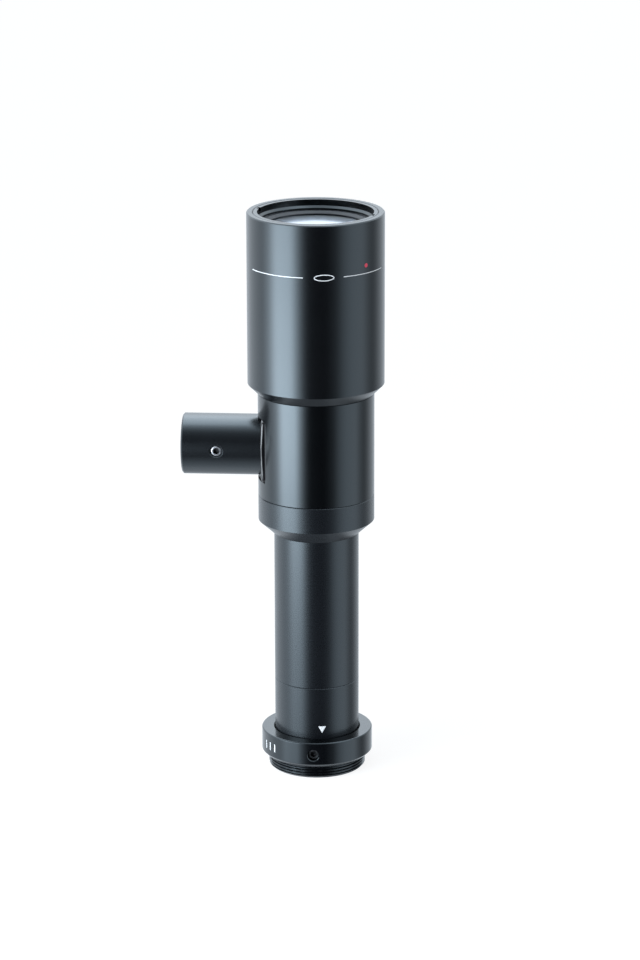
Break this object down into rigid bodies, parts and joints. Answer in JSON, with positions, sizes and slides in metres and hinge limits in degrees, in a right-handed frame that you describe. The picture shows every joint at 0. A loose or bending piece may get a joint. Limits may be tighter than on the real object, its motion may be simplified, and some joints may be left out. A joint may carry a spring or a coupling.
{
  "type": "machine vision lens",
  "caption": "Telecentric machine vision lens: a stepped black tube with a threaded camera mount at one end, a wide objective at the other, and a side port for coaxial light.",
  "frame": {"origin": "on the optical axis, in the plane of the camera flange", "axes": "+Z along the optical axis from the camera towards the object side; -X along the light port; the port's clamp screw and the first mount screw point along -Y"},
  "size_m": [0.0523, 0.0354, 0.1494],
  "materials": {
    "black_anodised": "black anodised, fine turned, satin",
    "matt_black_anodised": "black anodised, matt",
    "coated_glass": "polished, anti-reflection coated",
    "splitter_glass": "polished, half-silvered",
    "screw_steel": "black oxide steel",
    "black_adhesive": "glossy cured adhesive",
    "black_flock": "black flock"
  },
  "bodies": {
    "lens_body": {"front_barrel": "black_anodised", "front_ring": "black_anodised", "objective_cell": "matt_black_anodised", "objective_crown_lens": "coated_glass", "objective_flint_lens": "coated_glass", "objective_spacer": "matt_black_anodised", "objective_single_lens": "coated_glass", "objective_lens_ring": "matt_black_anodised", "front_baffle": "matt_black_anodised", "mid_barrel": "black_anodised", "splitter_holder": "matt_black_anodised", "splitter_plate": "splitter_glass", "light_absorber": "black_flock", "port_tube": "black_anodised", "port_adhesive": "black_adhesive", "condenser_lens": "coated_glass", "condenser_ring": "matt_black_anodised", "rear_barrel": "black_anodised", "aperture_stop": "matt_black_anodised", "stop_ring": "matt_black_anodised", "mount_tube": "black_anodised", "rear_lens_cell": "matt_black_anodised", "rear_crown_lens": "coated_glass", "rear_flint_lens": "coated_glass", "rear_spacer": "matt_black_anodised", "rear_singlet": "coated_glass", "rear_lens_ring": "matt_black_anodised"},
    "mount_ring": {"mount_ring": "black_anodised"},
    "mount_screw_1": {"mount_screw_1": "screw_steel"},
    "mount_screw_2": {"mount_screw_2": "screw_steel"},
    "mount_screw_3": {"mount_screw_3": "screw_steel"},
    "port_screw": {"port_screw": "screw_steel"}
  },
  "joints": [
    {"name": "mount_turn", "type": "hinge", "parent": "lens_body", "child": "mount_ring", "pos_m": [0, 0, 0], "axis": [0, 0, 1], "continuous": true},
    {"name": "mount_screw_1_travel", "type": "slide", "parent": "mount_ring", "child": "mount_screw_1", "axis": [0, -1, 0], "range_m": [0, 0.001]},
    {"name": "mount_screw_2_travel", "type": "slide", "parent": "mount_ring", "child": "mount_screw_2", "axis": [0.866, 0.5, 0], "range_m": [0, 0.001]},
    {"name": "mount_screw_3_travel", "type": "slide", "parent": "mount_ring", "child": "mount_screw_3", "axis": [-0.866, 0.5, 0], "range_m": [0, 0.001]},
    {"name": "port_screw_travel", "type": "slide", "parent": "lens_body", "child": "port_screw", "axis": [0, -1, 0], "range_m": [-0.0009, 0.0004]}
  ]
}
